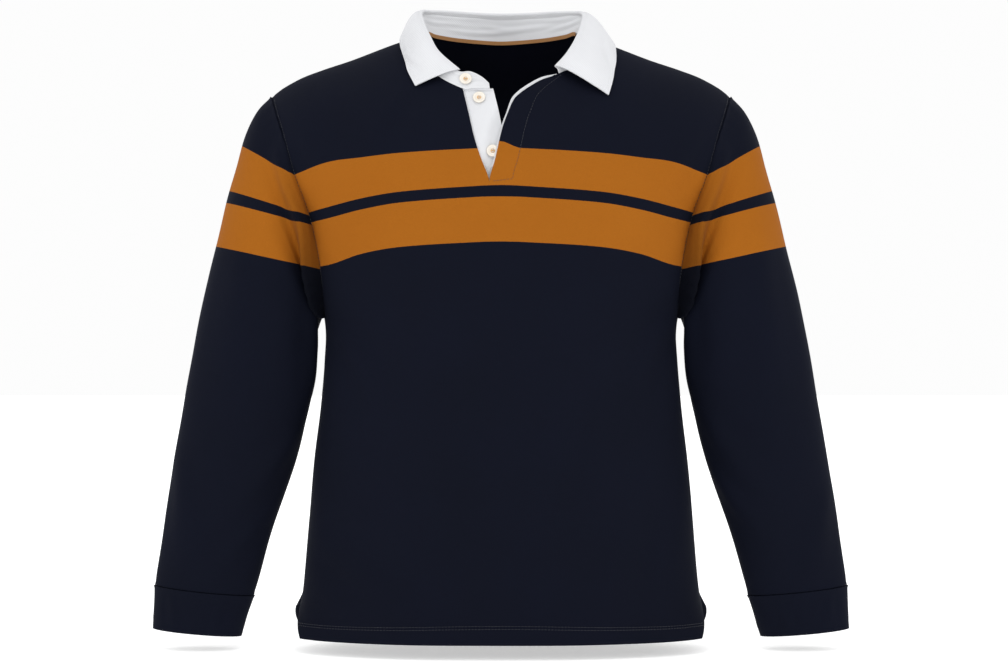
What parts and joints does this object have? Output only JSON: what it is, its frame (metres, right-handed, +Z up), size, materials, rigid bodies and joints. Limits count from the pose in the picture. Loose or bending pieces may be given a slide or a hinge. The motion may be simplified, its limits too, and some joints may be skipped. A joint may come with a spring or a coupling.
{
  "type": "rugby shirt",
  "caption": "Long-sleeved rugby shirt with banded chest and sleeves, a turned-down twill collar and a buttoned fly, filled out as if worn.",
  "frame": {"origin": "between the shoulders, level with the points where shoulder seams and collar meet, inside the neck", "axes": "+Z up, -Y the way the front faces, +X the wearer's left"},
  "size_m": [0.8482, 0.2461, 0.7682],
  "materials": {
    "navy_jersey": "smooth heavy cotton jersey",
    "white_twill": "cotton twill",
    "tan_tape": "woven tape",
    "button": "polished resin"
  },
  "bodies": {
    "root": {"front": "navy_jersey", "back": "navy_jersey", "sleeve_left": "navy_jersey", "sleeve_right": "navy_jersey", "cuff_left": "navy_jersey", "cuff_right": "navy_jersey", "collar_stand": "white_twill", "collar_leaf": "white_twill", "button_strip": "white_twill", "fly_facing": "white_twill", "neck_tape": "tan_tape", "button_1": "button", "button_2": "button", "button_3": "button"}
  },
  "joints": []
}
